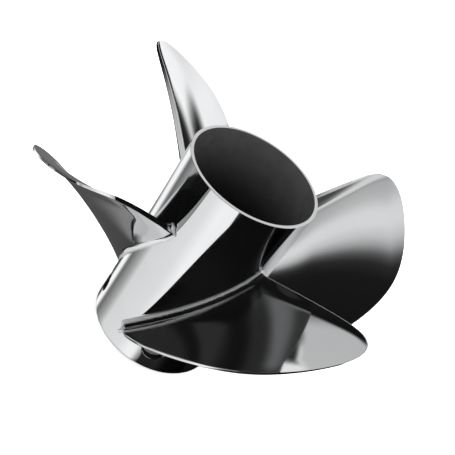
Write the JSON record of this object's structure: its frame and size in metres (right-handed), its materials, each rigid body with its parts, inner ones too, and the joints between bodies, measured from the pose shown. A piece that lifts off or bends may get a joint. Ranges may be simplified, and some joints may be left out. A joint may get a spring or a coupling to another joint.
{
  "type": "boat propeller",
  "caption": "Stainless steel boat propeller with skewed, raked blades on an open exhaust hub, with a rubber bushing and a splined drive sleeve inside.",
  "frame": {"origin": "centre of the hub's front end, which it stands on", "axes": "+Z along the shaft axis, from the front end of the hub to its open aft end; +X through a vent hole"},
  "size_m": [0.3446, 0.3446, 0.1967],
  "materials": {
    "polished_steel": "mirror polished stainless steel",
    "cast_steel": "as-cast stainless steel, satin",
    "rubber": "black rubber",
    "bronze": "machined bronze"
  },
  "bodies": {
    "root": {"hub_barrel": "polished_steel", "blade_1": "polished_steel", "blade_2": "polished_steel", "blade_3": "polished_steel", "blade_4": "polished_steel", "inner_hub": "cast_steel", "rib_1": "cast_steel", "rib_2": "cast_steel", "rib_3": "cast_steel", "rib_4": "cast_steel", "rubber_bushing": "rubber", "splined_sleeve": "bronze"}
  },
  "joints": []
}
